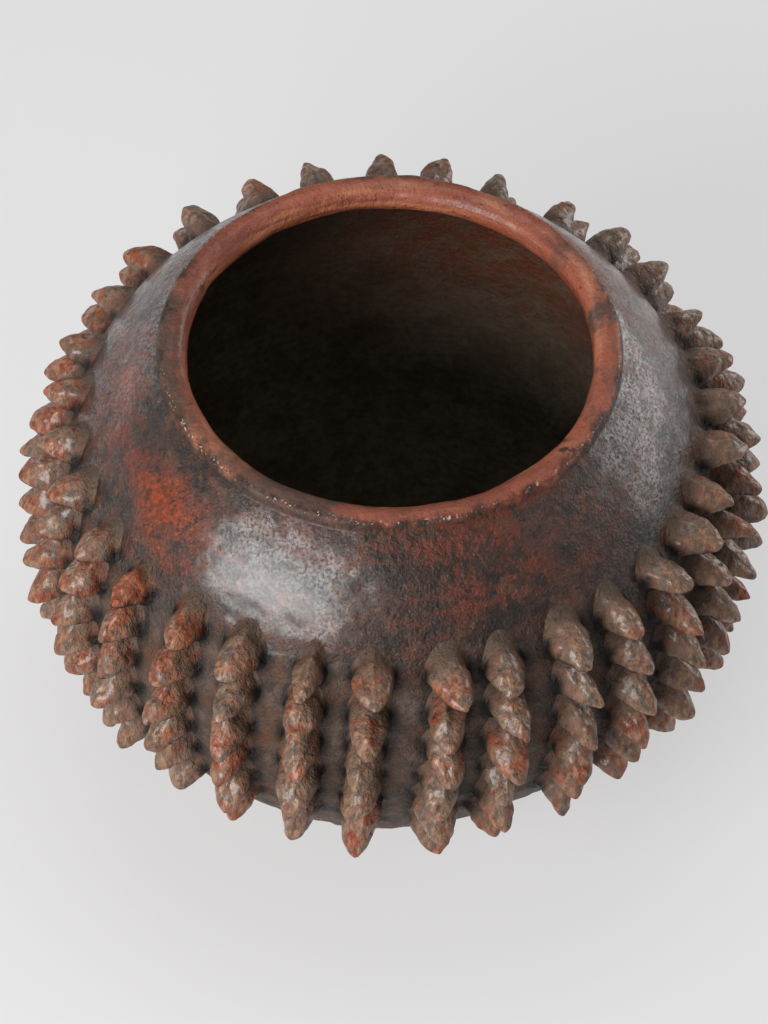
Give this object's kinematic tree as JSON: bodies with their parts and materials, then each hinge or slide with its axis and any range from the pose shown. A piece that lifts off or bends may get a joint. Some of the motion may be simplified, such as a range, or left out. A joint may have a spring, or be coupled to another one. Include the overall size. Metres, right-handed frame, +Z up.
{
  "type": "spiked earthenware vase",
  "caption": "Squat hand-built earthenware vase with a wide rolled mouth, burnished shoulder and upright columns of finger-pinched spikes round its belly.",
  "frame": {"origin": "middle of the flat underside that the vase stands on", "axes": "+Z up through the mouth; -Y is the side the picture was taken from; +X is to the right in the picture"},
  "size_m": [0.3722, 0.3756, 0.2537],
  "materials": {
    "burnished_shoulder": "burnished dark slip with rust-red fire clouding, low sheen",
    "burnished_lip": "burnished terracotta slip, dark specks, low sheen",
    "pinched_clay": "rough finger-pinched clay, brown-grey with orange wear, matt",
    "smoothed_belly": "wiped brown-grey slip, nearly matt",
    "foot_clay": "smoke-darkened clay, matt, worn under the foot"
  },
  "bodies": {
    "root": {"floor_disc": "foot_clay", "lip_roll": "burnished_lip", "wall_coil_1": "smoothed_belly", "wall_coil_2": "smoothed_belly", "wall_coil_3": "smoothed_belly", "wall_coil_4": "smoothed_belly", "wall_coil_5": "smoothed_belly", "wall_coil_6": "smoothed_belly", "wall_coil_7": "burnished_shoulder", "wall_coil_8": "burnished_shoulder", "spike_column_01": "pinched_clay", "spike_column_02": "pinched_clay", "spike_column_03": "pinched_clay", "spike_column_04": "pinched_clay", "spike_column_05": "pinched_clay", "spike_column_06": "pinched_clay", "spike_column_07": "pinched_clay", "spike_column_08": "pinched_clay", "spike_column_09": "pinched_clay", "spike_column_10": "pinched_clay", "spike_column_11": "pinched_clay", "spike_column_12": "pinched_clay", "spike_column_13": "pinched_clay", "spike_column_14": "pinched_clay", "spike_column_15": "pinched_clay", "spike_column_16": "pinched_clay", "spike_column_17": "pinched_clay", "spike_column_18": "pinched_clay", "spike_column_19": "pinched_clay", "spike_column_20": "pinched_clay", "spike_column_21": "pinched_clay", "spike_column_22": "pinched_clay", "spike_column_23": "pinched_clay", "spike_column_24": "pinched_clay", "spike_column_25": "pinched_clay", "spike_column_26": "pinched_clay", "spike_column_27": "pinched_clay", "spike_column_28": "pinched_clay", "spike_column_29": "pinched_clay", "spike_column_30": "pinched_clay", "spike_column_31": "pinched_clay", "spike_column_32": "pinched_clay"}
  },
  "joints": []
}
